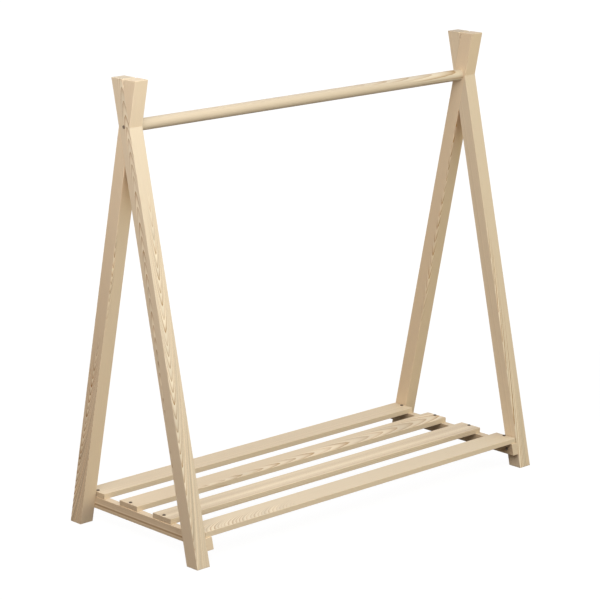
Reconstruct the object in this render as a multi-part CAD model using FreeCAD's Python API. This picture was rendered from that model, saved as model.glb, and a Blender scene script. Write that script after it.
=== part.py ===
import FreeCAD, Part
import math
import os

# Open frame wardrobe: two end frames of crossed legs carry a round hanging rail and a slatted shelf.
# The origin is on the floor below the middle of the rail: +X runs along the rail, +Y to the back, +Z up.

# Whole rack, in millimetres
overall_width = 1200.0  # over the legs, without the heads of the rail screws
overall_depth = 500.0
overall_height = 1170.0
rail_to_top = 115.0  # from the rail's axis up to the level tops of the legs

# Legs: square bars, halved into each other where they cross
leg_thickness = 40.0  # along the rail
leg_width = 40.0  # in the plane of an end frame
leg_arris = 1.2  # rounding of the edges
lap_clearance = 0.1  # between a leg's side and the shoulder of the halving that takes it

# Hanging rail
rail_diameter = 30.0

# Cross battens: each ties a pair of legs on their inner faces and carries the slat ends
batten_thickness = 20.0
batten_height = 31.0
batten_floor_gap = 38.0
batten_arris = 1.0

# Shelf slats
slat_count = 4
slat_width = 70.0
slat_thickness = 14.0
slat_arris = 1.0
slat_end_gap = 2.0  # from a slat's end to the inner faces of the legs

# Pan-head wood screws, pulled a little way into the soft wood; the thread is kept at its core diameter
rail_screw_diameter = 4.5
rail_screw_head_diameter = 8.5
rail_screw_length = 90.0
slat_screw_diameter = 4.0
slat_screw_head_diameter = 8.5
slat_screw_length = 35.0
batten_screw_diameter = 4.0
batten_screw_head_diameter = 8.5
batten_screw_length = 45.0
screw_sink = 0.3  # how far the underside of a head is pulled into the wood
screw_clearance = 0.1  # all round a screw in its hole
head_height_share = 0.32  # of the head's diameter
head_rounding_share = 0.5  # rounding of the head's upper edge, of its height
shank_share = 0.4  # plain shank, of the screw's length below the head
core_share = 0.65  # core of the thread, of the screw's diameter
tip_share = 1.2  # length of the point, of the screw's diameter
recess_length_share = 0.52  # across the cross recess, of the head's diameter
recess_width_share = 0.13  # of one slot of the cross, of the head's diameter
recess_depth_share = 0.24  # of the head's diameter

cut_overrun = 5.0  # how far every cut runs past the face that it opens

# Places that follow from the sizes above
half_depth = overall_depth / 2
clear_span = overall_width - 2 * leg_thickness
inner_face = clear_span / 2
outer_face = overall_width / 2
middle_of_leg = inner_face + leg_thickness / 2
crossing_height = overall_height - rail_to_top
foot_reach = math.hypot(half_depth, crossing_height)
lean = math.acos(leg_width / 2 / foot_reach) - math.atan2(crossing_height, half_depth)
batten_top = batten_floor_gap + batten_height
slat_top = batten_top + slat_thickness
batten_middle = inner_face - batten_thickness / 2

left = -1
right = 1
front = -1
back = 1
side_names = {left: "left", right: "right"}
end_names = {front: "front", back: "back"}

along_x = FreeCAD.Vector(1, 0, 0)
along_z = FreeCAD.Vector(0, 0, 1)
full_turn = 360


def leg_axis_depth(height):
    """Distance of a leg's axis from the middle plane of the rack at a height, below zero past the crossing."""
    return (crossing_height - height) * math.tan(lean)


def leg_edge_depth(height):
    """Distance of a leg's outer edge from the middle plane of the rack, at a height below the crossing."""
    return leg_axis_depth(height) + leg_width / 2 / math.cos(lean)


def block(low, high):
    """Box between two opposite corners."""
    size = high - low
    return Part.makeBox(size.x, size.y, size.z, low)


def board(corners, x_one, x_two):
    """Square-edged board: an outline of depths and heights, thick from one place along the rail to another."""
    start = min(x_one, x_two)
    points = [FreeCAD.Vector(start, depth, height) for depth, height in corners]
    face = Part.Face(Part.makePolygon(points + points[:1]))
    return face.extrude(along_x * abs(x_two - x_one))


def eased(timber, arris):
    """The timber with all its edges rounded."""
    return timber.makeFillet(arris, timber.Edges)


def leg_outline(end, width):
    """Corners of a leaning bar that stands at the front or the back, level at the floor and at the top."""
    half_slice = width / 2 / math.cos(lean)
    foot = leg_axis_depth(0)
    head = leg_axis_depth(overall_height)
    return [
        (end * (foot - half_slice), 0),
        (end * (foot + half_slice), 0),
        (end * (head + half_slice), overall_height),
        (end * (head - half_slice), overall_height),
    ]


def shank_points(diameter, length, grow):
    """Half outline of a screw below its head along Z, grown all round."""
    shank = diameter / 2 + grow
    core = diameter * core_share / 2 + grow
    shank_bottom = -length * shank_share
    core_bottom = diameter * tip_share - length
    return [
        FreeCAD.Vector(shank, 0, 0),
        FreeCAD.Vector(shank, 0, shank_bottom),
        FreeCAD.Vector(core, 0, shank_bottom),
        FreeCAD.Vector(core, 0, core_bottom),
        FreeCAD.Vector(0, 0, -length - grow),
    ]


def turned(points):
    """Solid of revolution about Z of a closed half outline."""
    outline = Part.makePolygon(points + points[:1])
    return Part.Face(outline).revolve(FreeCAD.Vector(0, 0, 0), along_z, full_turn)


def screw_head(head_diameter):
    """Round head along Z with its flat underside at the origin and its upper edge rounded."""
    height = head_diameter * head_height_share
    head = Part.makeCylinder(head_diameter / 2, height)
    upper_edges = []
    for edge in head.Edges:
        if edge.BoundBox.ZMin > height / 2:
            upper_edges.append(edge)
    return head.makeFillet(height * head_rounding_share, upper_edges)


def screw(diameter, head_diameter, length):
    """Pan-head screw along Z with the underside of its head at the origin."""
    top = head_diameter * head_height_share
    body = turned([FreeCAD.Vector(0, 0, 0)] + shank_points(diameter, length, 0))
    body = body.fuse(screw_head(head_diameter))
    half_length = head_diameter * recess_length_share / 2
    half_width = head_diameter * recess_width_share / 2
    depth = head_diameter * recess_depth_share
    for reach_x, reach_y in ((half_length, half_width), (half_width, half_length)):
        low = FreeCAD.Vector(-reach_x, -reach_y, top - depth)
        high = FreeCAD.Vector(reach_x, reach_y, top + cut_overrun)
        body = body.cut(block(low, high))
    return body


def screw_hole(diameter, head_diameter, length):
    """Hole for the screw with the seat that its head presses into the wood, open past the surface."""
    seat = head_diameter / 2 + screw_clearance
    mouth = [
        FreeCAD.Vector(0, 0, cut_overrun),
        FreeCAD.Vector(seat, 0, cut_overrun),
        FreeCAD.Vector(seat, 0, 0),
    ]
    return turned(mouth + shank_points(diameter, length, screw_clearance))


def driven(shape, surface_point, outward):
    """A screw or its hole, pulled in at a point of the wood's surface that faces outward."""
    seat_middle = surface_point - outward * screw_sink
    shape.Placement = FreeCAD.Placement(seat_middle, FreeCAD.Rotation(along_z, outward))
    return shape


class Fastening:
    """One screw: its kind and the surface point and direction that it is driven from."""

    def __init__(self, name, kind, surface_point, outward):
        self.name = name
        self.kind = kind
        self.surface_point = surface_point
        self.outward = outward

    def solid(self):
        return driven(screw(*self.kind), self.surface_point, self.outward)

    def hole(self):
        return driven(screw_hole(*self.kind), self.surface_point, self.outward)


def drilled(shape, fastenings):
    """The shape with the holes of its screws."""
    for fastening in fastenings:
        shape = shape.cut(fastening.hole())
    return shape


rail_screw_kind = (rail_screw_diameter, rail_screw_head_diameter, rail_screw_length)
slat_screw_kind = (slat_screw_diameter, slat_screw_head_diameter, slat_screw_length)
batten_screw_kind = (batten_screw_diameter, batten_screw_head_diameter, batten_screw_length)


def rail_fastening(side):
    """Screw through the crossing of one end frame into the end of the rail."""
    point = FreeCAD.Vector(side * outer_face, 0, crossing_height)
    return Fastening(side_names[side] + "_rail_screw", rail_screw_kind, point, along_x * side)


def batten_fastening(side, end):
    """Screw from inside through a batten into the middle of a leg."""
    height = batten_floor_gap + batten_height / 2
    point = FreeCAD.Vector(side * (inner_face - batten_thickness), end * leg_axis_depth(height), height)
    name = end_names[end] + "_" + side_names[side] + "_batten_screw"
    return Fastening(name, batten_screw_kind, point, along_x * -side)


def slat_depth(number):
    """Place of a slat's middle: the outer slats end level with the legs' outer edges."""
    outermost = leg_edge_depth(slat_top) - slat_width / 2
    pitch = 2 * outermost / (slat_count - 1)
    return number * pitch - outermost


def slat_fastening(number, side):
    """Screw down through a slat's end into the middle of a batten."""
    point = FreeCAD.Vector(side * batten_middle, slat_depth(number), slat_top)
    name = "slat_%d_%s_screw" % (number + 1, side_names[side])
    return Fastening(name, slat_screw_kind, point, along_z)


def leg(side, end):
    """Leaning leg, halved where the other leg of its frame crosses it."""
    bar = eased(board(leg_outline(end, leg_width), side * inner_face, side * outer_face), leg_arris)
    if end == front:
        open_face = inner_face - cut_overrun
    else:
        open_face = outer_face + cut_overrun
    other_leg = leg_outline(-end, leg_width + 2 * lap_clearance)
    halving = board(other_leg, side * middle_of_leg, side * open_face)
    return drilled(bar.cut(halving), [rail_fastening(side), batten_fastening(side, end)])


def hanging_rail():
    """Round rail between the inner faces of the two crossings."""
    start = FreeCAD.Vector(-inner_face, 0, crossing_height)
    bar = Part.makeCylinder(rail_diameter / 2, clear_span, start, along_x)
    return drilled(bar, [rail_fastening(left), rail_fastening(right)])


def batten(side):
    """Cross batten whose ends follow the slope of the legs."""
    bottom_reach = leg_edge_depth(batten_floor_gap)
    top_reach = leg_edge_depth(batten_top)
    corners = [
        (-bottom_reach, batten_floor_gap),
        (bottom_reach, batten_floor_gap),
        (top_reach, batten_top),
        (-top_reach, batten_top),
    ]
    bar = eased(board(corners, side * inner_face, side * (inner_face - batten_thickness)), batten_arris)
    screws = [batten_fastening(side, front), batten_fastening(side, back)]
    for number in range(slat_count):
        screws.append(slat_fastening(number, side))
    return drilled(bar, screws)


def shelf_slat(number):
    """Flat slat that rests on both battens."""
    half_length = inner_face - slat_end_gap
    middle = slat_depth(number)
    corners = [
        (middle - slat_width / 2, batten_top),
        (middle + slat_width / 2, batten_top),
        (middle + slat_width / 2, slat_top),
        (middle - slat_width / 2, slat_top),
    ]
    bar = eased(board(corners, -half_length, half_length), slat_arris)
    return drilled(bar, [slat_fastening(number, left), slat_fastening(number, right)])


def save(name, shape):
    """Write one piece to its own file."""
    shape.exportStep(os.path.join("parts", name + ".step"))


def main():
    os.makedirs("parts", exist_ok=True)
    screws = []
    save("hanging_rail", hanging_rail())
    for side in (left, right):
        save(side_names[side] + "_batten", batten(side))
        screws.append(rail_fastening(side))
        for end in (front, back):
            save(end_names[end] + "_" + side_names[side] + "_leg", leg(side, end))
            screws.append(batten_fastening(side, end))
    for number in range(slat_count):
        save("shelf_slat_%d" % (number + 1), shelf_slat(number))
        for side in (left, right):
            screws.append(slat_fastening(number, side))
    for fastening in screws:
        save(fastening.name, fastening.solid())


main()
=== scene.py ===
import math
from typing import NamedTuple

import bpy
from mathutils import Matrix, Vector


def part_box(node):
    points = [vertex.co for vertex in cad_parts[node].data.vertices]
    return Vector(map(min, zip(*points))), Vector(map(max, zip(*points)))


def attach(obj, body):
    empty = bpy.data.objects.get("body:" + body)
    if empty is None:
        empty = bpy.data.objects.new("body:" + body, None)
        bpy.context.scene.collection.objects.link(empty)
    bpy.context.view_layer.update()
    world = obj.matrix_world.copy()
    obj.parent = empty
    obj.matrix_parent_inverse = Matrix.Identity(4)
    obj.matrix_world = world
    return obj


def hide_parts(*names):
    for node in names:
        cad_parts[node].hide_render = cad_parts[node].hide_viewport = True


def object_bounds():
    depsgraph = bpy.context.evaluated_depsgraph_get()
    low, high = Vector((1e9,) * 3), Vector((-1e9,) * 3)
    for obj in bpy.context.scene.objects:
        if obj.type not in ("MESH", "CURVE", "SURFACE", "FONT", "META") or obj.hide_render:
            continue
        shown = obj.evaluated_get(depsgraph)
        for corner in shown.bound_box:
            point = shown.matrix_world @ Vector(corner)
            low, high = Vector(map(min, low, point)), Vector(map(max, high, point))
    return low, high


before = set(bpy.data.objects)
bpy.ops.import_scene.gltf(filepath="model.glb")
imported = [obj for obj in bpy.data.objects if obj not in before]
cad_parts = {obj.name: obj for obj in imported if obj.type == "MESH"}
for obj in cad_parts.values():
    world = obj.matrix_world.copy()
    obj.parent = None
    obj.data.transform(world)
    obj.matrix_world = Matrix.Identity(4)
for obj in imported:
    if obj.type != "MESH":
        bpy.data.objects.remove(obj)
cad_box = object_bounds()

bl_info = {
    "name": "Open Frame Wardrobe",
    "version": (1, 0, 0),
    "blender": (4, 5, 0),
    "location": "3D View > Sidebar > Wardrobe",
    "description": "Timber finishes, pan-head screws and a studio stage for an open frame wardrobe",
    "category": "Object",
}

MM = 0.001

# Places that the finishes follow, in metres and radians
LEG_LEAN = math.radians(12.274)
LEG_HALF = 20 * MM
QUARTER_TURN = math.pi / 2
FULL_TURN = 2 * math.pi
UP = Vector((0, 0, 1))
FRONT = -1
BACK = 1

NOISE_MEAN = 0.5
SPECULAR = 0.2  # of bare wood and of blackened steel


def srgb(red, green, blue):
    """A colour as it is seen on screen, from 0 to 255, in the linear values that Blender keeps."""
    shares = [part / 255 for part in (red, green, blue)]
    return tuple(s / 12.92 if s <= 0.04045 else ((s + 0.055) / 1.055) ** 2.4 for s in shares)


def opaque(colour):
    """A colour with full alpha, for a socket."""
    return (*colour, 1.0)


class Number:
    """A number that a shader works out: arithmetic on it adds Math nodes."""

    def __init__(self, recipe, socket):
        self.recipe = recipe
        self.socket = socket

    def __add__(self, other):
        return self.recipe.maths("ADD", self, other)

    __radd__ = __add__

    def __sub__(self, other):
        return self.recipe.maths("SUBTRACT", self, other)

    def __rsub__(self, other):
        return self.recipe.maths("SUBTRACT", other, self)

    def __mul__(self, other):
        return self.recipe.maths("MULTIPLY", self, other)

    __rmul__ = __mul__

    def __truediv__(self, other):
        return self.recipe.maths("DIVIDE", self, other)

    def __rtruediv__(self, other):
        return self.recipe.maths("DIVIDE", other, self)

    def __pow__(self, other):
        return self.recipe.maths("POWER", self, other)

    def __rpow__(self, other):
        return self.recipe.maths("POWER", other, self)

    def __abs__(self):
        return self.recipe.maths("ABSOLUTE", self)

    def at_least(self, other):
        return self.recipe.maths("MAXIMUM", self, other)

    def floor(self):
        return self.recipe.maths("FLOOR", self)

    def root(self):
        return self.recipe.maths("SQRT", self)


class Recipe:
    """The nodes of one material or of the world."""

    def __init__(self, owner):
        owner.use_nodes = True
        self.tree = owner.node_tree
        self.tree.nodes.clear()

    def node(self, kind, settings=None, sockets=None):
        """One node: its settings come first, then the values or links of its sockets."""
        made = self.tree.nodes.new(kind)
        for key, setting in (settings or {}).items():
            setattr(made, key, setting)
        for key, given in (sockets or {}).items():
            socket = self.socket(made, key)
            given = given.socket if isinstance(given, Number) else given
            if isinstance(given, bpy.types.NodeSocket):
                self.tree.links.new(given, socket)
            else:
                socket.default_value = given
        return made

    @staticmethod
    def socket(node, key):
        """A node's input by its place, its identifier or its name."""
        if isinstance(key, int):
            return node.inputs[key]
        for socket in node.inputs:
            if socket.identifier == key:
                return socket
        return node.inputs[key]

    def maths(self, operation, *operands):
        made = self.node("ShaderNodeMath", {"operation": operation}, dict(enumerate(operands)))
        return Number(self, made.outputs[0])

    def parts(self, vector):
        """The three numbers of a vector or a colour."""
        made = self.node("ShaderNodeSeparateXYZ", sockets={"Vector": vector})
        return [Number(self, output) for output in made.outputs]

    def vectors(self, operation, *operands):
        made = self.node("ShaderNodeVectorMath", {"operation": operation}, dict(enumerate(operands)))
        return made.outputs["Vector"]

    def scaled(self, vector, share):
        """A vector or a colour, made longer or brighter."""
        sockets = {"Vector": vector, "Scale": share}
        return self.node("ShaderNodeVectorMath", {"operation": "SCALE"}, sockets).outputs["Vector"]

    def along(self, vector, direction):
        """How far a vector reaches in a direction."""
        made = self.node("ShaderNodeVectorMath", {"operation": "DOT_PRODUCT"}, {0: vector, 1: direction})
        return Number(self, made.outputs["Value"])

    def distance(self, vector, point):
        made = self.node("ShaderNodeVectorMath", {"operation": "DISTANCE"}, {0: vector, 1: point})
        return Number(self, made.outputs["Value"])

    def step(self, number, low, high):
        """0 below low, 1 above high and a soft step between them."""
        made = self.node(
            "ShaderNodeMapRange",
            {"interpolation_type": "SMOOTHSTEP"},
            {"Value": number, "From Min": low, "From Max": high},
        )
        return Number(self, made.outputs["Result"])

    @staticmethod
    def bell(number):
        """1 at zero, falling softly towards 0 on both sides."""
        return math.e ** (number * number * -1.0)

    def mixed(self, share, one, two):
        """A colour between two others, or past one of them where the share is below 0 or above 1."""
        made = self.node(
            "ShaderNodeMix",
            {"data_type": "RGBA", "clamp_factor": False},
            {"Factor_Float": share, "A_Color": one, "B_Color": two},
        )
        return next(output for output in made.outputs if output.identifier == "Result_Color")

    def noise(self, vector, seed, detail=1.0):
        """Soft noise with a grain of about one unit of the vector."""
        return self.node(
            "ShaderNodeTexNoise",
            {"noise_dimensions": "4D"},
            {"Vector": vector, "W": seed, "Scale": 1.0, "Detail": detail},
        ).outputs

    def line_noise(self, number, seed):
        """Soft noise along one number, about even round zero."""
        made = self.node(
            "ShaderNodeTexNoise",
            {"noise_dimensions": "1D"},
            {"W": number + seed, "Scale": 1.0, "Detail": 1.0},
        )
        return Number(self, made.outputs["Fac"]) - NOISE_MEAN

    def chance(self, number, seed):
        """A number from 0 to 1 that is the same wherever the given whole number is."""
        made = self.node("ShaderNodeTexWhiteNoise", {"noise_dimensions": "1D"}, {"W": number + seed})
        return Number(self, made.outputs["Value"])


class Lie(NamedTuple):
    """How a piece of timber lies, with its own Z axis along it."""

    middle: tuple  # where its own axes meet
    turn: tuple  # of its own axes
    half_section: tuple


class Figure(NamedTuple):
    """Growth rings that show on a face, in the piece's own axes and in millimetres."""

    pith: tuple  # where the heart of the tree passes, at the origin of the piece's own axes
    lean: tuple  # how far the heart moves sideways for each millimetre along the piece
    ring: float = 2.2  # width of a year's ring
    late: float = 1.0  # strength of the dark late wood
    tilt: float = 1.5  # largest tilt of a ring to the face, as a sine, at which the late wood shows
    span: tuple = (-2000.0, 2000.0)  # from where to where along the piece it shows


class PaintedBounce(NamedTuple):
    """Painted bounce light: warmer, brighter wood on the face that looks one way along the piece's own Y.
    """

    facing: int
    place: float = -115.0  # along the piece, in millimetres
    reach: float = 85.0  # along the piece, in millimetres
    late: float = 0.4  # share of the late wood's colour


class Grain(NamedTuple):
    """Figure and tone of one piece, with painted light and shade on some of its faces."""

    figure: Figure
    flank: Figure = None  # figure of the faces that look along the piece's own X, where it differs
    wander: float = 5.0  # how far the heart strays from a straight line, in millimetres
    tone: float = 1.0  # brightness of the piece
    painted_flank_shading: float = 0.0  # painted light and shade: brightness added to the faces that look along the piece's own X
    warmth: float = 0.0  # towards the late wood's colour
    seed: float = 0.0
    # Painted bounce light on the face towards the other leg
    painted_bounce: PaintedBounce = None
    # Lines on the faces that look along X, and broad bands of painted shade: place on Y and half width in
    # millimetres, share of late wood
    streaks: tuple = ()


# Shares of the usual contrast in the timber's finer figure
STRIPE_TONE = 0.26
CLOUD_TONE = 0.06
FIBRE_TONE = 0.1
DASH_TONE = 0.11
EDGE_TONE = 0.03
STREAK_AND_SHADE_TONE = 0.25  # darker in a streak and in a band of painted shade, for its share of late wood
PAINTED_BOUNCE_TONE = 0.35  # brighter in the painted bounce light, for its share of late wood

# Growth rings
LATE_SHARE = 0.15  # of late wood in a ring, made up for by paler early wood
LATE_ONSET = 2.5  # power by which a ring darkens towards its late wood
LATE_STOP = 0.93  # of a ring, where the late wood starts to end
FAINTEST_YEAR = 0.5  # its late wood, of the strongest year's
RING_POINT = 0.03  # how pointed the rings' tips are
RING_FRAY = 0.30  # how far the fibres fray a ring, in rings
RING_DRIFT = 0.9  # how far narrow and wide years shift a ring, in rings
DRIFT_RATE = 0.23  # swings between narrow and wide years, for each ring
STRIPE_RATE = 0.4  # swings between pale and dark stripes, for each ring
SPAN_SOFT = 90 * MM  # over which the late wood fades out along a piece
TILT_SOFT = 0.4  # of the largest tilt, over which the late wood fades out
END_FADE = 0.7  # late wood that is lost on a cut end

# Noise in the timber: grains for each metre along its own X, Y and Z
FIBRE_GRAIN = (650.0, 650.0, 9.0)
FIBRE_DETAIL = 2.0
FIBRE_SEED = 3.0
DASH_GRAIN = (1100.0, 1100.0, 45.0)
DASH_SEED = 7.0
DASH_RANGE = (0.66, 0.78)  # of the noise, from no line to a full one
STRIPE_SEED = 11.0
CLOUD_GRAIN = (6.0, 6.0, 1.6)

# Cosines from which a face counts as looking along an axis, and from which it does so fully
SIDE_RANGE = (0.6, 0.8)
END_RANGE = (0.7, 0.95)
EDGE_REACH = 2.5 * MM  # of the paler wood along the edges
EDGELESS = (1.0, 1.0)  # half section, in metres, whose edges are out of reach of a round bar

# Feel of the surface
FIBRE_ROUGHNESS = 0.12
LATE_ROUGHNESS = 0.06
END_ROUGHNESS = 0.12
FIBRE_HEIGHT = 0.5
LATE_HEIGHT = 0.5
DASH_HEIGHT = 0.3
GRAIN_BUMP = 0.35


def timber(name, lie, grain, look):
    """Planed softwood whose growth rings run round the heart of its tree."""
    material = bpy.data.materials.new(name)
    recipe = Recipe(material)
    spot = recipe.node("ShaderNodeTexCoord").outputs["Object"]
    local = recipe.node(
        "ShaderNodeMapping",
        {"vector_type": "TEXTURE"},
        {"Vector": spot, "Location": lie.middle, "Rotation": lie.turn},
    ).outputs["Vector"]
    across, through, along = recipe.parts(local)

    # Which way the face looks: along the piece's own X or along the grain
    normal = recipe.node("ShaderNodeNewGeometry").outputs["Normal"]
    turn = Matrix.Rotation(lie.turn[1], 3, "Y") @ Matrix.Rotation(lie.turn[0], 3, "X")
    face_x, face_y, face_z = (recipe.along(normal, axis) for axis in turn.col)
    side = recipe.step(abs(face_x), *SIDE_RANGE)
    end = recipe.step(abs(face_z), *END_RANGE)
    one, two = grain.figure, grain.flank or grain.figure

    def chosen(usual, flank):
        return usual if usual == flank else side * (flank - usual) + usual

    # Fibres and short resin lines along the piece
    thin = recipe.vectors("MULTIPLY", local, FIBRE_GRAIN)
    fibre = Number(recipe, recipe.noise(thin, grain.seed + FIBRE_SEED, FIBRE_DETAIL)["Fac"])
    short = recipe.vectors("MULTIPLY", local, DASH_GRAIN)
    dash = recipe.step(Number(recipe, recipe.noise(short, grain.seed + DASH_SEED)["Fac"]), *DASH_RANGE)

    # Rings round a heart that leans and strays
    slow = recipe.vectors("MULTIPLY", local, CLOUD_GRAIN)
    stray_x, stray_y, cloud = recipe.parts(recipe.noise(slow, grain.seed)["Color"])
    wander = grain.wander * MM
    heart_x = along * chosen(one.lean[0], two.lean[0]) + chosen(one.pith[0] * MM, two.pith[0] * MM)
    heart_y = along * chosen(one.lean[1], two.lean[1]) + chosen(one.pith[1] * MM, two.pith[1] * MM)
    beside = across - heart_x + (stray_x - NOISE_MEAN) * wander
    behind = through - heart_y + (stray_y - NOISE_MEAN) * wander
    radius = (beside * beside + behind * behind).root()
    flat = (beside * face_x + behind * face_y) / radius
    tilt = (1.0 - flat * flat).at_least(0.0).root()
    radius = radius * (1.0 + tilt * RING_POINT)
    rings = radius / chosen(one.ring * look.ring_scale * MM, two.ring * look.ring_scale * MM)
    drift = recipe.line_noise(rings * DRIFT_RATE, grain.seed) * RING_DRIFT
    rings = rings + drift + (fibre - NOISE_MEAN) * RING_FRAY
    year = rings.floor()
    season = rings - year
    late = season ** LATE_ONSET * (1.0 - recipe.step(season, LATE_STOP, 1.0))
    strength = recipe.chance(year, grain.seed) * (1.0 - FAINTEST_YEAR) + FAINTEST_YEAR

    # Where the late wood shows
    tilt_limit = chosen(one.tilt, two.tilt)
    start = chosen(one.span[0] * MM, two.span[0] * MM)
    stop = chosen(one.span[1] * MM, two.span[1] * MM)
    shown = (
        recipe.step(tilt_limit - tilt, 0.0, tilt_limit * TILT_SOFT)
        * recipe.step(along - start, -SPAN_SOFT, SPAN_SOFT)
        * recipe.step(stop - along, -SPAN_SOFT, SPAN_SOFT)
        * (1.0 - end * END_FADE)
        * chosen(one.late, two.late)
    )
    late = late * strength * shown
    stripe = recipe.line_noise(rings * STRIPE_RATE, grain.seed + STRIPE_SEED) * shown

    edge_x = ((abs(across) - (lie.half_section[0] - EDGE_REACH)) / EDGE_REACH).at_least(0.0)
    edge_y = ((abs(through) - (lie.half_section[1] - EDGE_REACH)) / EDGE_REACH).at_least(0.0)
    edge = edge_x * edge_y

    dark = (late - shown * LATE_SHARE) * look.contrast + grain.warmth
    # Painted light and shade: the faces that look along X get their own added brightness
    brightness = (
        side * grain.painted_flank_shading
        + grain.tone
        + stripe * STRIPE_TONE
        + (cloud - NOISE_MEAN) * CLOUD_TONE
        + (fibre - NOISE_MEAN) * FIBRE_TONE
        - dash * DASH_TONE
        + edge * EDGE_TONE
        - end * look.end_shade
    )
    # Painted bounce light: warmer, brighter wood on the face towards the other leg, below the crossing
    if grain.painted_bounce:
        away = (along - grain.painted_bounce.place * MM) / (grain.painted_bounce.reach * MM)
        faced = recipe.step(face_y * grain.painted_bounce.facing, *SIDE_RANGE)
        painted_bounce = faced * recipe.bell(away) * grain.painted_bounce.late
        dark = dark + painted_bounce
        brightness = brightness + painted_bounce * PAINTED_BOUNCE_TONE
    # Grain streaks, and broad bands of painted shade, on the faces that look along X
    for place, half_width, amount in grain.streaks:
        away = (through - place * MM) / (half_width * MM)
        streak_and_shade = side * recipe.bell(away) * amount
        dark = dark + streak_and_shade
        brightness = brightness - streak_and_shade * STREAK_AND_SHADE_TONE
    colour = recipe.mixed(dark, opaque(look.early_colour), opaque(look.late_colour))
    colour = recipe.scaled(colour, brightness)
    roughness = (
        look.roughness
        + (fibre - NOISE_MEAN) * FIBRE_ROUGHNESS
        - late * LATE_ROUGHNESS
        + end * END_ROUGHNESS
    )
    height = fibre * FIBRE_HEIGHT + late * LATE_HEIGHT - dash * DASH_HEIGHT
    bump = recipe.node(
        "ShaderNodeBump",
        sockets={"Strength": GRAIN_BUMP, "Distance": look.relief, "Height": height},
    ).outputs["Normal"]
    shader = recipe.node(
        "ShaderNodeBsdfPrincipled",
        sockets={
            "Base Color": colour,
            "Roughness": roughness,
            "Normal": bump,
            "Specular IOR Level": SPECULAR,
        },
    )
    recipe.node("ShaderNodeOutputMaterial", sockets={"Surface": shader.outputs["BSDF"]})
    return material


def finish_timber(node, lie, grain):
    """Gives a CAD node its own timber."""
    look = bpy.context.scene.wardrobe_timber
    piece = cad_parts[node]
    material = timber(node + "_timber", lie, grain, look)
    if not piece.material_slots:
        raise RuntimeError(node + " has no material slot")
    for slot in piece.material_slots:
        slot.material = material


def middle_of(node):
    low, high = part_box(node)
    return (low + high) / 2


def leg_lie(node, way):
    """A leg's own axes meet at the crossing: X along the rail, Y square to the leg, towards the back."""
    place = Vector((middle_of(node).x, 0.0, middle_of("hanging_rail").z))
    return Lie(tuple(place), (way * LEG_LEAN, 0.0, 0.0), (LEG_HALF, LEG_HALF))


def lengthways_lie(node):
    """A piece along the rail: its own X points down and its own Y to the back."""
    low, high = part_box(node)
    half = (high - low) / 2
    return Lie(tuple((low + high) / 2), (0.0, QUARTER_TURN, 0.0), (half.z, half.y))


def crossways_lie(node):
    """A piece from front to back: its own X points along the rail and its own Y down."""
    low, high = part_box(node)
    half = (high - low) / 2
    return Lie(tuple((low + high) / 2), (-QUARTER_TURN, 0.0, 0.0), (half.x, half.z))


# On each leg, the flank brightness is painted light and shade, and the warmer wood on the face towards
# the other leg is painted bounce light.
LEG_GRAIN = {
    "front_left_leg": (FRONT, Grain(
        figure=Figure(
            pith=(12.5, -16), lean=(0.037, -0.04),
            ring=1.25, late=2.0, tilt=0.85, span=(-1200, -220),
        ),
        flank=Figure(
            pith=(16, -10), lean=(0.048, -0.031),
            ring=1.5, late=1.8, tilt=0.36, span=(-900, 300),
        ),
        tone=0.94, painted_flank_shading=0.045, warmth=-0.105, seed=1.0, painted_bounce=PaintedBounce(BACK),
    )),
    "back_left_leg": (BACK, Grain(
        figure=Figure(
            pith=(-17, -29.6), lean=(0.0, -0.048),
            ring=1.2, late=2.0, tilt=0.7, span=(-460, -280),
        ),
        flank=Figure(
            pith=(-43, -34), lean=(-0.057, -0.053),
            ring=1.2, late=2.5, tilt=0.95, span=(-1200, -600),
        ),
        tone=1.135, painted_flank_shading=-0.035, warmth=0.05, seed=2.0, painted_bounce=PaintedBounce(FRONT),
    )),
    "front_right_leg": (FRONT, Grain(
        figure=Figure(
            pith=(-32, -10), lean=(0.0, -0.04),
            ring=3.0, late=2.6, tilt=0.78, span=(-1200, -430),
        ),
        flank=Figure(pith=(60, 50), lean=(0.006, 0.004), late=0.4),
        tone=0.95, painted_flank_shading=0.045, warmth=0.04, seed=3.0, painted_bounce=PaintedBounce(BACK),
    )),
    "back_right_leg": (BACK, Grain(
        figure=Figure(
            pith=(-18, -19), lean=(0.0, -0.036),
            ring=1.4, late=2.0, tilt=0.35, span=(-680, -100),
        ),
        flank=Figure(
            pith=(-19, -19), lean=(-0.036, 0.0),
            ring=1.4, late=1.6, tilt=0.35, span=(-680, -100),
        ),
        tone=1.125, warmth=0.195, seed=4.0, painted_bounce=PaintedBounce(FRONT),
    )),
}

RAIL_GRAIN = Grain(
    figure=Figure(
        pith=(-9.8, -4.9), lean=(0.016, 0.008),
        ring=1.5, late=1.5, tilt=0.32, span=(200, 700),
    ),
    wander=1.0, tone=0.872, warmth=-0.06, seed=5.0,
)

BATTEN_GRAIN = {
    "left_batten": Grain(
        figure=Figure(pith=(-40, 30), lean=(0.01, 0.006), late=0.4),
        tone=1.06, warmth=0.07, seed=6.0,
        streaks=((4.4, 2.3, 0.65), (0.0, 1.6, -0.3), (8.6, 1.5, -0.15), (12.0, 2.5, 0.1)),
    ),
    "right_batten": Grain(
        figure=Figure(pith=(-40, 30), lean=(0.01, 0.006)),
        tone=1.0, warmth=0.08, seed=7.0,
        # A broad band of painted shade on the faces that look along X, for the shade under the slats
        streaks=((0.0, 40.0, 0.35),),
    ),
}

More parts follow.
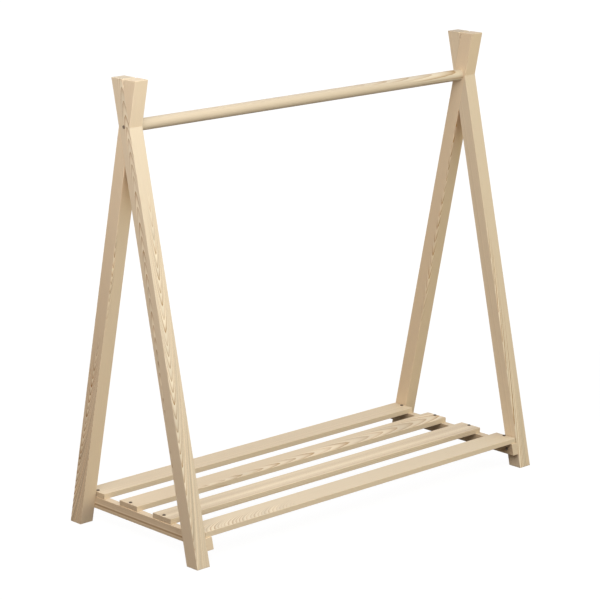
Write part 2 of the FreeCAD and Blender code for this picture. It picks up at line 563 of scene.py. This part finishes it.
SLAT_GRAIN = {
    "shelf_slat_1": Grain(
        figure=Figure(
            pith=(120, -33), lean=(-0.1, 0.0),
            ring=1.2, late=1.3, tilt=0.25, span=(-700, -300),
        ),
        # Painted shade on the top and the underside
        wander=1.0, tone=1.05, painted_flank_shading=-0.11, warmth=-0.015, seed=8.0,
    ),
    "shelf_slat_2": Grain(
        figure=Figure(pith=(30, -90), lean=(0.001, 0.003), late=0.6),
        tone=1.005, warmth=0.04, seed=9.0,
        streaks=((-8.5, 7.0, -0.17), (8.0, 9.0, 0.08), (-27.0, 6.0, 0.09)),
    ),
    "shelf_slat_3": Grain(
        figure=Figure(
            pith=(26, -19), lean=(0.075, 0.026),
            ring=4.8, late=1.45, tilt=0.5, span=(-380, 700),
        ),
        wander=3.0, tone=1.02, warmth=0.1, seed=10.0,
    ),
    "shelf_slat_4": Grain(
        figure=Figure(pith=(70, 60), lean=(0.004, 0.004), late=0.4),
        tone=1.025, warmth=0.09, seed=12.0,
    ),
}


def settled(piece):
    """Leaves edit mode with the faces of a piece merged and facing outwards."""
    bpy.ops.mesh.select_all(action="SELECT")
    bpy.ops.mesh.remove_doubles(threshold=MERGE_DISTANCE)
    bpy.ops.mesh.normals_make_consistent(inside=False)
    bpy.ops.object.mode_set(mode="OBJECT")
    return piece


def picked(piece):
    """Selects one piece alone."""
    bpy.ops.object.select_all(action="DESELECT")
    piece.select_set(True)
    bpy.context.view_layer.objects.active = piece


def drawn(name, points):
    """Edit mode on a line that starts as one corner and is extruded from point to point."""
    bpy.ops.object.select_all(action="DESELECT")
    bpy.ops.mesh.primitive_plane_add(size=1.0)
    piece = bpy.context.object
    piece.name = name
    bpy.ops.object.mode_set(mode="EDIT")
    bpy.ops.mesh.merge(type="CENTER")
    bpy.ops.transform.translate(value=points[0])
    for here, there in zip(points, points[1:]):
        reach = Vector(there) - Vector(here)
        bpy.ops.mesh.extrude_vertices_move(TRANSFORM_OT_translate={"value": tuple(reach)})
    bpy.ops.mesh.select_all(action="SELECT")
    return piece


def fitted(piece, kind, **settings):
    """Adds a modifier and applies it."""
    picked(piece)
    modifier = piece.modifiers.new(kind.lower(), kind)
    for key, setting in settings.items():
        setattr(modifier, key, setting)
    bpy.ops.object.modifier_apply(modifier=modifier.name)


def combined(piece, tool, way):
    """Joins a tool to a piece or cuts it out, and takes the tool away."""
    fitted(piece, "BOOLEAN", operation=way, solver="EXACT", object=tool)
    bpy.data.objects.remove(tool)


class ScrewSize(NamedTuple):
    """Sizes of one kind of screw, in metres, with its length below the head."""

    head: float
    height: float
    shank: float
    length: float


SCREW_SIDES = 48
ROUNDING_STEPS = 6
CROWN_SHARE = 0.06  # rise of the head's slight dome, of its height
BREAK_SHARE = 0.02  # of the small bevels, of the head's diameter
SMOOTH_ANGLE = math.radians(32)
MERGE_DISTANCE = 0.001 * MM
CUT_TOLERANCE = 0.0001 * MM
FIRST_TURN = 0.4  # of the cross in the first head, in radians
NEXT_TURN = 1.9  # of the cross in each head from the one before

# Thread
THREAD_SIDES = 24
CREST_SHARE = 0.98  # of the shank's diameter, so that the first turn starts inside the shank
CREST_RANGE = (0.72, 0.78)  # of the pitch
FLANK_START = 0.5  # of the pitch
TURNS_INSIDE = 0.9  # in the shank, chosen so that no cut passes close to a corner
TOP_TRIM = 0.2  # cut off the first turn, of the pitch
SPARE_TURNS = 2  # cut off below the tip
TIP_SCALE = (0.04, 0.04, 1.0)
TIP_TOLERANCE = 0.01 * MM

# Wings of the cross recess
WING_WIDTH = 0.26  # of a wing's reach
WING_DEPTH = 0.26  # of the head's diameter
WING_TAPER = (0.36, 0.7, 1.0)  # its bottom, of its top
WING_CEILING = 1.05  # of the head's height


def screw_blank(name, size, shape):
    """Pan head and plain shank, turned from a profile, with the head's underside at the origin."""
    rim, shank = size.head / 2, size.shank / 2
    rounding = size.height * shape.rounding_share
    crown = size.height * CROWN_SHARE
    shank_end = size.length * shape.shank_share
    soft = size.head * BREAK_SHARE
    shoulder = rim - rounding
    profile = [(0, 0, size.height), (shoulder / 2, 0, size.height - crown / 4)]
    for step in range(ROUNDING_STEPS + 1):
        angle = QUARTER_TURN * step / ROUNDING_STEPS
        level = size.height - crown - rounding * (1 - math.cos(angle))
        profile.append((shoulder + rounding * math.sin(angle), 0, level))
    profile += [
        (rim, 0, soft),
        (rim - soft, 0, 0),
        (shank, 0, 0),
        (shank, 0, -shank_end + soft),
        (shank - soft, 0, -shank_end),
        (0, 0, -shank_end),
    ]
    piece = drawn(name, profile)
    bpy.ops.mesh.spin(steps=SCREW_SIDES, angle=FULL_TURN, center=(0, 0, 0), axis=(0, 0, 1))
    return settled(piece)


def screw_thread(size, shape):
    """Threaded core: one turn of its profile, wound down to the tip and drawn out to a point."""
    crest = size.shank / 2 * CREST_SHARE
    core = size.shank / 2 * shape.core_share
    pitch = size.shank * shape.pitch_share
    top = -size.length * shape.shank_share + pitch * TURNS_INSIDE
    turns = math.ceil((size.length + top) / pitch) + SPARE_TURNS
    start = top - turns * pitch + pitch
    crest_start, crest_end = CREST_RANGE
    tooth = [(core, 0.0), (core, FLANK_START), (crest, crest_start), (crest, crest_end), (core, 1.0)]
    profile = [(radius, 0, start + share * pitch) for radius, share in tooth]
    piece = drawn("screw_thread", profile)
    bpy.ops.object.mode_set(mode="OBJECT")
    fitted(
        piece,
        "SCREW",
        axis="Z",
        angle=FULL_TURN,
        screw_offset=pitch,
        iterations=turns,
        steps=THREAD_SIDES,
        render_steps=THREAD_SIDES,
    )
    bpy.ops.object.mode_set(mode="EDIT")
    bpy.ops.mesh.select_all(action="SELECT")
    bpy.ops.mesh.remove_doubles(threshold=MERGE_DISTANCE)
    for level, above in ((top - pitch * TOP_TRIM, True), (-size.length, False)):
        bpy.ops.mesh.select_all(action="SELECT")
        bpy.ops.mesh.bisect(
            plane_co=(0, 0, level),
            plane_no=(0, 0, 1),
            use_fill=True,
            clear_outer=above,
            clear_inner=not above,
            threshold=CUT_TOLERANCE,
        )
    bpy.ops.mesh.select_all(action="DESELECT")
    bpy.ops.object.mode_set(mode="OBJECT")
    for vertex in piece.data.vertices:
        vertex.select = vertex.co.z < -size.length + TIP_TOLERANCE
    bpy.ops.object.mode_set(mode="EDIT")
    bpy.ops.transform.resize(
        value=TIP_SCALE,
        center_override=(0, 0, -size.length),
        use_proportional_edit=True,
        proportional_edit_falloff="LINEAR",
        proportional_size=size.shank * shape.tip_share,
    )
    return settled(piece)


def cross_recess(size, shape):
    """Cutter for the cross in a head: two tapered wings."""
    reach = size.head * shape.recess_share
    width = reach * WING_WIDTH
    bottom = size.height - size.head * WING_DEPTH
    ceiling = size.height * WING_CEILING
    middle = (0, 0, (bottom + ceiling) / 2)
    wings = []
    for turn in (0.0, QUARTER_TURN):
        bpy.ops.object.select_all(action="DESELECT")
        bpy.ops.mesh.primitive_cube_add(size=1.0, location=middle)
        wing = bpy.context.object
        bpy.ops.object.mode_set(mode="EDIT")
        bpy.ops.transform.resize(value=(reach, width, ceiling - bottom), center_override=middle)
        bpy.ops.mesh.select_all(action="DESELECT")
        bpy.ops.object.mode_set(mode="OBJECT")
        for vertex in wing.data.vertices:
            vertex.select = vertex.co.z < 0
        bpy.ops.object.mode_set(mode="EDIT")
        bpy.ops.transform.resize(value=WING_TAPER, center_override=(0, 0, bottom))
        bpy.ops.mesh.select_all(action="SELECT")
        bpy.ops.transform.rotate(value=turn, orient_axis="Z", center_override=(0, 0, 0))
        settled(wing)
        bpy.ops.object.transform_apply(location=True, rotation=True, scale=True)
        wings.append(wing)
    cutter, other = wings
    combined(cutter, other, "UNION")
    return cutter


def screw_model(name, size, shape):
    """One pan-head screw along Z, head up, with the head's underside at the origin."""
    piece = screw_blank(name, size, shape)
    combined(piece, screw_thread(size, shape), "UNION")
    combined(piece, cross_recess(size, shape), "DIFFERENCE")
    picked(piece)
    bpy.ops.object.shade_smooth_by_angle(angle=SMOOTH_ANGLE)
    return piece


# Steel: grains for each metre, shares of the worn finish and feel of the surface
MOTTLE_GRAIN = 900.0
MOTTLE_SEED = 1.0
MOTTLE_DETAIL = 3.0
MOTTLE_WEAR = 0.35
MOTTLE_ROUGHNESS = 0.2
SPECK_GRAIN = 4200.0
SPECK_SEED = 5.0
SPECK_RANGE = (0.6, 0.75)  # of the noise, from no speck to a full one
SPECK_WEAR = 0.2
STEEL_BUMP = 0.3
STEEL_RELIEF = 0.05 * MM
STEEL_METALLIC = 0.25


def screw_steel(kind, wear):
    """Blackened steel with faint mottling, its finish worn off by a share."""
    look = bpy.context.scene.wardrobe_screws
    material = bpy.data.materials.new(kind + "_steel")
    recipe = Recipe(material)
    spot = recipe.node("ShaderNodeTexCoord").outputs["Object"]
    broad = recipe.noise(recipe.scaled(spot, MOTTLE_GRAIN), MOTTLE_SEED, MOTTLE_DETAIL)
    mottle = Number(recipe, broad["Fac"])
    fine = recipe.noise(recipe.scaled(spot, SPECK_GRAIN), SPECK_SEED)
    speck = recipe.step(Number(recipe, fine["Fac"]), *SPECK_RANGE)
    worn = mottle * MOTTLE_WEAR + speck * SPECK_WEAR + wear
    colour = recipe.mixed(worn, opaque(look.steel_colour), opaque(look.worn_colour))
    roughness = look.roughness + (mottle - NOISE_MEAN) * MOTTLE_ROUGHNESS
    bump = recipe.node(
        "ShaderNodeBump",
        sockets={"Strength": STEEL_BUMP, "Distance": STEEL_RELIEF, "Height": mottle + speck},
    ).outputs["Normal"]
    shader = recipe.node(
        "ShaderNodeBsdfPrincipled",
        sockets={
            "Base Color": colour,
            "Roughness": roughness,
            "Normal": bump,
            "Metallic": STEEL_METALLIC,
            "Specular IOR Level": SPECULAR,
        },
    )
    recipe.node("ShaderNodeOutputMaterial", sockets={"Surface": shader.outputs["BSDF"]})
    return material


def drive_screws(kind, shank, headings, wear):
    """Models one kind of screw and sets a copy of it in each place, its head facing the given way."""
    shape = bpy.context.scene.wardrobe_screws
    low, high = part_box(next(iter(headings)))
    spans = sorted(high - low)
    height = spans[0] * shape.height_share
    size = ScrewSize(head=spans[0], height=height, shank=shank, length=spans[2] - height)
    model = screw_model(kind + "_model", size, shape)
    model.data.materials.clear()
    model.data.materials.append(screw_steel(kind, wear))
    for number, (node, outward) in enumerate(headings.items()):
        low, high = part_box(node)
        seat = (low + high) / 2 + outward * ((size.length - size.height) / 2)
        turn = Matrix.Rotation(number * NEXT_TURN + FIRST_TURN, 4, "Z")
        heading = outward.to_track_quat("Z", "Y").to_matrix().to_4x4()
        place = Matrix.Translation(seat) @ heading @ turn
        piece = model.copy()
        piece.data = model.data.copy()
        piece.name = node + "_detailed"
        piece.data.name = piece.name
        piece.data.transform(place)
        bpy.context.scene.collection.objects.link(piece)
        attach(piece, "root")
        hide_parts(node)
    bpy.data.objects.remove(model)


# Camera of the photograph
CAMERA_TARGET = Vector((-0.05858, -0.03274, 0.54149))
CAMERA_AZIMUTH = math.radians(-42.9042)
CAMERA_ELEVATION = math.radians(14.2186)
CAMERA_ROLL = math.radians(-0.0984)
CAMERA_DISTANCE = 6.27723
CAMERA_REACH = 100.0
SENSOR = 36.0


def direction(azimuth, elevation):
    """Unit vector towards a bearing, as the camera's: azimuth 0 is in front and 90 to the right."""
    level = math.cos(elevation)
    return Vector((math.sin(azimuth) * level, -math.cos(azimuth) * level, math.sin(elevation)))


def set_camera(stage):
    """Camera at the photograph's place, with its slight roll."""
    bpy.ops.object.select_all(action="DESELECT")
    bpy.ops.object.camera_add()
    camera = bpy.context.object
    camera.name = "photograph_camera"
    back = direction(CAMERA_AZIMUTH, CAMERA_ELEVATION)
    right = (-back).cross(UP).normalized()
    over = back.cross(right)
    turned = Matrix((right, over, back)).transposed()
    place = CAMERA_TARGET + back * CAMERA_DISTANCE
    roll = Matrix.Rotation(CAMERA_ROLL, 4, "Z")
    camera.matrix_world = Matrix.Translation(place) @ turned.to_4x4() @ roll
    camera.data.sensor_width = SENSOR
    camera.data.lens = stage.lens
    camera.data.clip_end = CAMERA_REACH
    bpy.context.scene.camera = camera


class Lamp(NamedTuple):
    """A soft box: bearing in degrees, distance and size in metres, power in watts."""

    bearing: tuple
    distance: float
    size: float
    power: float
    colour: tuple


LAMPS = {
    "key_lamp": Lamp(bearing=(-55, 40), distance=2.6, size=1.6, power=34.5, colour=(1.0, 1.0, 1.0)),
    "left_lamp": Lamp(bearing=(-90, 20), distance=4.0, size=3.0, power=12, colour=(1.0, 0.71, 0.6)),
    "front_lamp": Lamp(bearing=(0, 25), distance=4.0, size=3.0, power=48.5, colour=(1.0, 0.99, 0.985)),
    "front_right_lamp": Lamp(
        bearing=(45, 25), distance=4.0, size=3.0, power=41.5, colour=(0.965, 1.0, 0.73)
    ),
    "right_lamp": Lamp(bearing=(90, 55), distance=4.0, size=3.0, power=33.5, colour=(0.34, 0.515, 1.0)),
    "back_lamp": Lamp(bearing=(180, 30), distance=4.0, size=3.0, power=37, colour=(0.645, 0.85, 1.0)),
    "low_back_lamp": Lamp(bearing=(172, -3), distance=4.0, size=1.4, power=29, colour=(1.0, 0.92, 0.8)),
}
LAMP_AIM = Vector((0.0, 0.0, 0.5))


def add_lamp(name, lamp, level):
    """One soft box that faces the middle of the wardrobe."""
    towards = direction(*(math.radians(angle) for angle in lamp.bearing))
    bpy.ops.object.select_all(action="DESELECT")
    bpy.ops.object.light_add(type="AREA", location=LAMP_AIM + towards * lamp.distance)
    box = bpy.context.object
    box.name = name
    box.rotation_euler = towards.to_track_quat("Z", "Y").to_euler()
    box.data.shape = "SQUARE"
    box.data.size = lamp.size
    box.data.energy = lamp.power * level
    box.data.color = lamp.colour


DIRECT_RAYS = ("Is Camera Ray", "Is Glossy Ray", "Is Transmission Ray")


def seen_directly(recipe):
    """1 where the camera, a reflection or a view through glass looks, else 0."""
    path = recipe.node("ShaderNodeLightPath").outputs
    camera, glossy, through_glass = (Number(recipe, path[ray]) for ray in DIRECT_RAYS)
    return camera.at_least(glossy).at_least(through_glass)


FLOOR_DROP = 0.2 * MM  # under the feet
FLOOR_GRAIN = 3.0  # for each metre
FLOOR_SEED = 2.0
FLOOR_MOTTLE = 0.02
SHADOW_RANGE = (1.2, 2.6)  # from where to where the floor's shadow fades out, in metres
PAPER_GLOW = 1.05
WHITE = (1, 1, 1)


def floor_material(stage):
    """Floor that the camera sees as white as the backdrop, with the wardrobe's faint shadow."""
    material = bpy.data.materials.new("studio_floor")
    recipe = Recipe(material)
    spot = recipe.node("ShaderNodeTexCoord").outputs["Object"]
    mottle = Number(recipe, recipe.noise(recipe.scaled(spot, FLOOR_GRAIN), FLOOR_SEED)["Fac"])
    colour = recipe.scaled(tuple(stage.floor_colour), 1.0 + (mottle - NOISE_MEAN) * FLOOR_MOTTLE)
    matt = recipe.node("ShaderNodeBsdfDiffuse", sockets={"Color": colour})
    near = 1.0 - recipe.step(recipe.distance(spot, (0, 0, 0)), *SHADOW_RANGE)
    paper = recipe.scaled(WHITE, near * stage.shadow_share)
    glow = recipe.scaled(WHITE, PAPER_GLOW - near * stage.shadow_share)
    white = recipe.node(
        "ShaderNodeBsdfPrincipled",
        sockets={
            "Base Color": paper,
            "Emission Color": glow,
            "Emission Strength": 1.0,
            "Roughness": 1.0,
            "Specular IOR Level": 0.0,
        },
    )
    mix = recipe.node(
        "ShaderNodeMixShader",
        sockets={0: seen_directly(recipe), 1: matt.outputs["BSDF"], 2: white.outputs["BSDF"]},
    )
    recipe.node("ShaderNodeOutputMaterial", sockets={"Surface": mix.outputs["Shader"]})
    return material


def lay_floor(stage):
    """Wide level floor just under the feet."""
    bpy.ops.object.select_all(action="DESELECT")
    level = cad_box[0].z - FLOOR_DROP
    bpy.ops.mesh.primitive_plane_add(size=stage.floor_size, location=(0, 0, level))
    floor = bpy.context.object
    floor.name = "studio_floor"
    floor.data.materials.append(floor_material(stage))


def hang_backdrop(stage):
    """White surroundings for the camera and a soft even light for everything else."""
    scene = bpy.context.scene
    scene.world = bpy.data.worlds.new("studio_surroundings")
    recipe = Recipe(scene.world)
    soft = recipe.node(
        "ShaderNodeBackground",
        sockets={"Color": opaque(stage.fill_colour), "Strength": stage.fill_strength},
    )
    white = recipe.node("ShaderNodeBackground", sockets={"Color": opaque(WHITE), "Strength": 1.0})
    mix = recipe.node(
        "ShaderNodeMixShader",
        sockets={0: seen_directly(recipe), 1: soft.outputs["Background"], 2: white.outputs["Background"]},
    )
    recipe.node("ShaderNodeOutputWorld", sockets={"Surface": mix.outputs["Shader"]})


class TimberLook(bpy.types.PropertyGroup):
    """Finish that all the timber shares."""

    early_colour: bpy.props.FloatVectorProperty(
        name="Early wood",
        description="Pale wood that grows in spring",
        subtype="COLOR",
        min=0.0,
        max=1.0,
        default=srgb(230, 214, 188),
    )
    late_colour: bpy.props.FloatVectorProperty(
        name="Late wood",
        description="Darker wood that ends each year's ring",
        subtype="COLOR",
        min=0.0,
        max=1.0,
        default=srgb(186, 150, 104),
    )
    contrast: bpy.props.FloatProperty(
        name="Ring contrast",
        description="How strongly the late wood shows",
        subtype="FACTOR",
        min=0.0,
        max=2.0,
        default=1.0,
    )
    ring_scale: bpy.props.FloatProperty(
        name="Ring width",
        description="Growth of one year, of the usual one",
        subtype="FACTOR",
        min=0.2,
        soft_max=3.0,
        default=1.0,
    )
    end_shade: bpy.props.FloatProperty(
        name="End shade",
        description="How much darker the cut ends are",
        subtype="FACTOR",
        min=0.0,
        max=1.0,
        default=0.06,
    )
    roughness: bpy.props.FloatProperty(
        name="Roughness",
        description="Mattness of the planed and sanded wood",
        subtype="FACTOR",
        min=0.0,
        max=1.0,
        default=0.6,
    )
    relief: bpy.props.FloatProperty(
        name="Relief",
        description="Depth of the grain that can be felt",
        unit="LENGTH",
        min=0.0,
        default=0.15 * MM,
    )


class ScrewShape(bpy.types.PropertyGroup):
    """Sizes and finish of the pan-head screws."""

    rail_shank: bpy.props.FloatProperty(
        name="Rail screw",
        description="Diameter of the screws into the rail",
        unit="LENGTH",
        min=2 * MM,
        default=4.5 * MM,
    )
    shelf_shank: bpy.props.FloatProperty(
        name="Shelf screws",
        description="Diameter of the screws through the slats and the battens",
        unit="LENGTH",
        min=2 * MM,
        default=4 * MM,
    )
    height_share: bpy.props.FloatProperty(
        name="Head height",
        description="Height of a head, of its diameter",
        subtype="FACTOR",
        min=0.1,
        max=0.6,
        default=0.32,
    )
    rounding_share: bpy.props.FloatProperty(
        name="Head rounding",
        description="Rounding of a head's upper edge, of its height",
        subtype="FACTOR",
        min=0.1,
        max=0.9,
        default=0.5,
    )
    shank_share: bpy.props.FloatProperty(
        name="Plain shank",
        description="Length without thread, of the screw's length below its head",
        subtype="FACTOR",
        min=0.2,
        max=0.8,
        default=0.4,
    )
    core_share: bpy.props.FloatProperty(
        name="Core",
        description="Core of the thread, of the shank's diameter",
        subtype="FACTOR",
        min=0.4,
        max=0.9,
        default=0.65,
    )
    pitch_share: bpy.props.FloatProperty(
        name="Pitch",
        description="Rise of the thread in one turn, of the shank's diameter",
        subtype="FACTOR",
        min=0.2,
        max=1.0,
        default=0.45,
    )
    tip_share: bpy.props.FloatProperty(
        name="Tip",
        description="Length of the point, of the shank's diameter",
        subtype="FACTOR",
        min=0.5,
        max=3.0,
        default=1.5,
    )
    recess_share: bpy.props.FloatProperty(
        name="Cross recess",
        description="Reach of the cross, of the head's diameter",
        subtype="FACTOR",
        min=0.2,
        max=0.8,
        default=0.56,
    )
    steel_colour: bpy.props.FloatVectorProperty(
        name="Steel",
        description="Blackened finish",
        subtype="COLOR",
        min=0.0,
        max=1.0,
        default=srgb(64, 54, 45),
    )
    worn_colour: bpy.props.FloatVectorProperty(
        name="Worn steel",
        description="Finish where the blackening is thin",
        subtype="COLOR",
        min=0.0,
        max=1.0,
        default=srgb(128, 115, 100),
    )
    rail_wear: bpy.props.FloatProperty(
        name="Wear of rail screws",
        description="Share of the finish that is worn off the screws of the rail",
        subtype="FACTOR",
        min=0.0,
        max=1.0,
        default=0.8,
    )
    shelf_wear: bpy.props.FloatProperty(
        name="Wear of shelf screws",
        description="Share of the finish that is worn off the screws of the slats and the battens",
        subtype="FACTOR",
        min=0.0,
        max=1.0,
        default=0.3,
    )
    roughness: bpy.props.FloatProperty(
        name="Roughness",
        description="Mattness of the blackened steel",
        subtype="FACTOR",
        min=0.0,
        max=1.0,
        default=0.55,
    )


class StageLook(bpy.types.PropertyGroup):
    """Floor, lamps and camera."""

    lens: bpy.props.FloatProperty(
        name="Lens",
        description="Focal length for a 36 mm sensor",
        subtype="DISTANCE_CAMERA",
        unit="CAMERA",
        min=10.0,
        default=146.385,
    )
    floor_size: bpy.props.FloatProperty(
        name="Floor",
        description="Length of the floor's sides",
        unit="LENGTH",
        min=4.0,
        default=40.0,
    )
    floor_colour: bpy.props.FloatVectorProperty(
        name="Floor colour",
        description="Colour that the floor throws back on the wardrobe",
        subtype="COLOR",
        min=0.0,
        max=1.0,
        default=srgb(72, 57, 48),
    )
    shadow_share: bpy.props.FloatProperty(
        name="Floor shadow",
        description="How much of the wardrobe's shadow the camera sees on the floor",
        subtype="FACTOR",
        min=0.0,
        max=1.0,
        default=0.1,
    )
    lamp_level: bpy.props.FloatProperty(
        name="Lamps",
        description="Brightness of all the soft boxes together",
        subtype="FACTOR",
        min=0.0,
        soft_max=2.0,
        default=1.0,
    )
    fill_strength: bpy.props.FloatProperty(
        name="Fill",
        description="Brightness of the even light from all round",
        min=0.0,
        default=0.309,
    )
    fill_colour: bpy.props.FloatVectorProperty(
        name="Fill colour",
        description="Colour of the even light from all round",
        subtype="COLOR",
        min=0.0,
        max=1.0,
        default=(1.0, 0.77, 0.508),
    )


class WARDROBE_OT_legs(bpy.types.Operator):
    """Finish the four halved legs"""

    bl_idname = "wardrobe.legs"
    bl_label = "Legs"

    def execute(self, context):
        for node, (way, grain) in LEG_GRAIN.items():
            finish_timber(node, leg_lie(node, way), grain)
        return {"FINISHED"}


class WARDROBE_OT_rail(bpy.types.Operator):
    """Finish the round hanging rail"""

    bl_idname = "wardrobe.rail"
    bl_label = "Hanging rail"

    def execute(self, context):
        lie = lengthways_lie("hanging_rail")._replace(half_section=EDGELESS)
        finish_timber("hanging_rail", lie, RAIL_GRAIN)
        return {"FINISHED"}


class WARDROBE_OT_battens(bpy.types.Operator):
    """Finish the two cross battens"""

    bl_idname = "wardrobe.battens"
    bl_label = "Battens"

    def execute(self, context):
        for node, grain in BATTEN_GRAIN.items():
            finish_timber(node, crossways_lie(node), grain)
        return {"FINISHED"}


class WARDROBE_OT_slats(bpy.types.Operator):
    """Finish the four shelf slats"""

    bl_idname = "wardrobe.slats"
    bl_label = "Shelf slats"

    def execute(self, context):
        for node, grain in SLAT_GRAIN.items():
            finish_timber(node, lengthways_lie(node), grain)
        return {"FINISHED"}


class WARDROBE_OT_rail_screws(bpy.types.Operator):
    """Model the two screws that hold the rail"""

    bl_idname = "wardrobe.rail_screws"
    bl_label = "Rail screws"

    def execute(self, context):
        headings = {"left_rail_screw": Vector((-1, 0, 0)), "right_rail_screw": Vector((1, 0, 0))}
        shape = context.scene.wardrobe_screws
        drive_screws("rail_screw", shape.rail_shank, headings, shape.rail_wear)
        return {"FINISHED"}


class WARDROBE_OT_slat_screws(bpy.types.Operator):
    """Model the eight screws that hold the slats"""

    bl_idname = "wardrobe.slat_screws"
    bl_label = "Slat screws"

    def execute(self, context):
        headings = {}
        for number in range(1, len(SLAT_GRAIN) + 1):
            for side in ("left", "right"):
                headings["slat_%d_%s_screw" % (number, side)] = UP
        shape = context.scene.wardrobe_screws
        drive_screws("slat_screw", shape.shelf_shank, headings, shape.shelf_wear)
        return {"FINISHED"}


class WARDROBE_OT_batten_screws(bpy.types.Operator):
    """Model the four screws that hold the battens"""

    bl_idname = "wardrobe.batten_screws"
    bl_label = "Batten screws"

    def execute(self, context):
        headings = {}
        for end in ("front", "back"):
            headings[end + "_left_batten_screw"] = Vector((1, 0, 0))
            headings[end + "_right_batten_screw"] = Vector((-1, 0, 0))
        shape = context.scene.wardrobe_screws
        drive_screws("batten_screw", shape.shelf_shank, headings, shape.shelf_wear)
        return {"FINISHED"}


class WARDROBE_OT_stage(bpy.types.Operator):
    """Set up the floor, the lamps, the backdrop and the camera"""

    bl_idname = "wardrobe.stage"
    bl_label = "Stage"

    def execute(self, context):
        stage = context.scene.wardrobe_stage
        context.scene.view_settings.view_transform = "Standard"
        lay_floor(stage)
        hang_backdrop(stage)
        for name, lamp in LAMPS.items():
            add_lamp(name, lamp, stage.lamp_level)
        set_camera(stage)
        return {"FINISHED"}


OPERATORS = (
    WARDROBE_OT_legs,
    WARDROBE_OT_rail,
    WARDROBE_OT_battens,
    WARDROBE_OT_slats,
    WARDROBE_OT_rail_screws,
    WARDROBE_OT_slat_screws,
    WARDROBE_OT_batten_screws,
    WARDROBE_OT_stage,
)


class WARDROBE_PT_sidebar(bpy.types.Panel):
    """Settings and steps of the wardrobe"""

    bl_label = "Open Frame Wardrobe"
    bl_space_type = "VIEW_3D"
    bl_region_type = "UI"
    bl_category = "Wardrobe"

    def draw(self, context):
        scene = context.scene
        for title, group in (
            ("Timber", scene.wardrobe_timber),
            ("Screws", scene.wardrobe_screws),
            ("Stage", scene.wardrobe_stage),
        ):
            box = self.layout.box()
            box.label(text=title)
            for key in group.__annotations__:
                box.prop(group, key)
        steps = self.layout.column()
        for operator in OPERATORS:
            steps.operator(operator.bl_idname)


CLASSES = (TimberLook, ScrewShape, StageLook, *OPERATORS, WARDROBE_PT_sidebar)


def register():
    for made in CLASSES:
        bpy.utils.register_class(made)
    bpy.types.Scene.wardrobe_timber = bpy.props.PointerProperty(type=TimberLook)
    bpy.types.Scene.wardrobe_screws = bpy.props.PointerProperty(type=ScrewShape)
    bpy.types.Scene.wardrobe_stage = bpy.props.PointerProperty(type=StageLook)


def unregister():
    del bpy.types.Scene.wardrobe_stage
    del bpy.types.Scene.wardrobe_screws
    del bpy.types.Scene.wardrobe_timber
    for made in reversed(CLASSES):
        bpy.utils.unregister_class(made)


def main():
    """Makes the wardrobe and its stage."""
    register()
    bpy.ops.wardrobe.legs()
    bpy.ops.wardrobe.rail()
    bpy.ops.wardrobe.battens()
    bpy.ops.wardrobe.slats()
    bpy.ops.wardrobe.rail_screws()
    bpy.ops.wardrobe.slat_screws()
    bpy.ops.wardrobe.batten_screws()
    bpy.ops.wardrobe.stage()


if __name__ == "__main__":
    main()
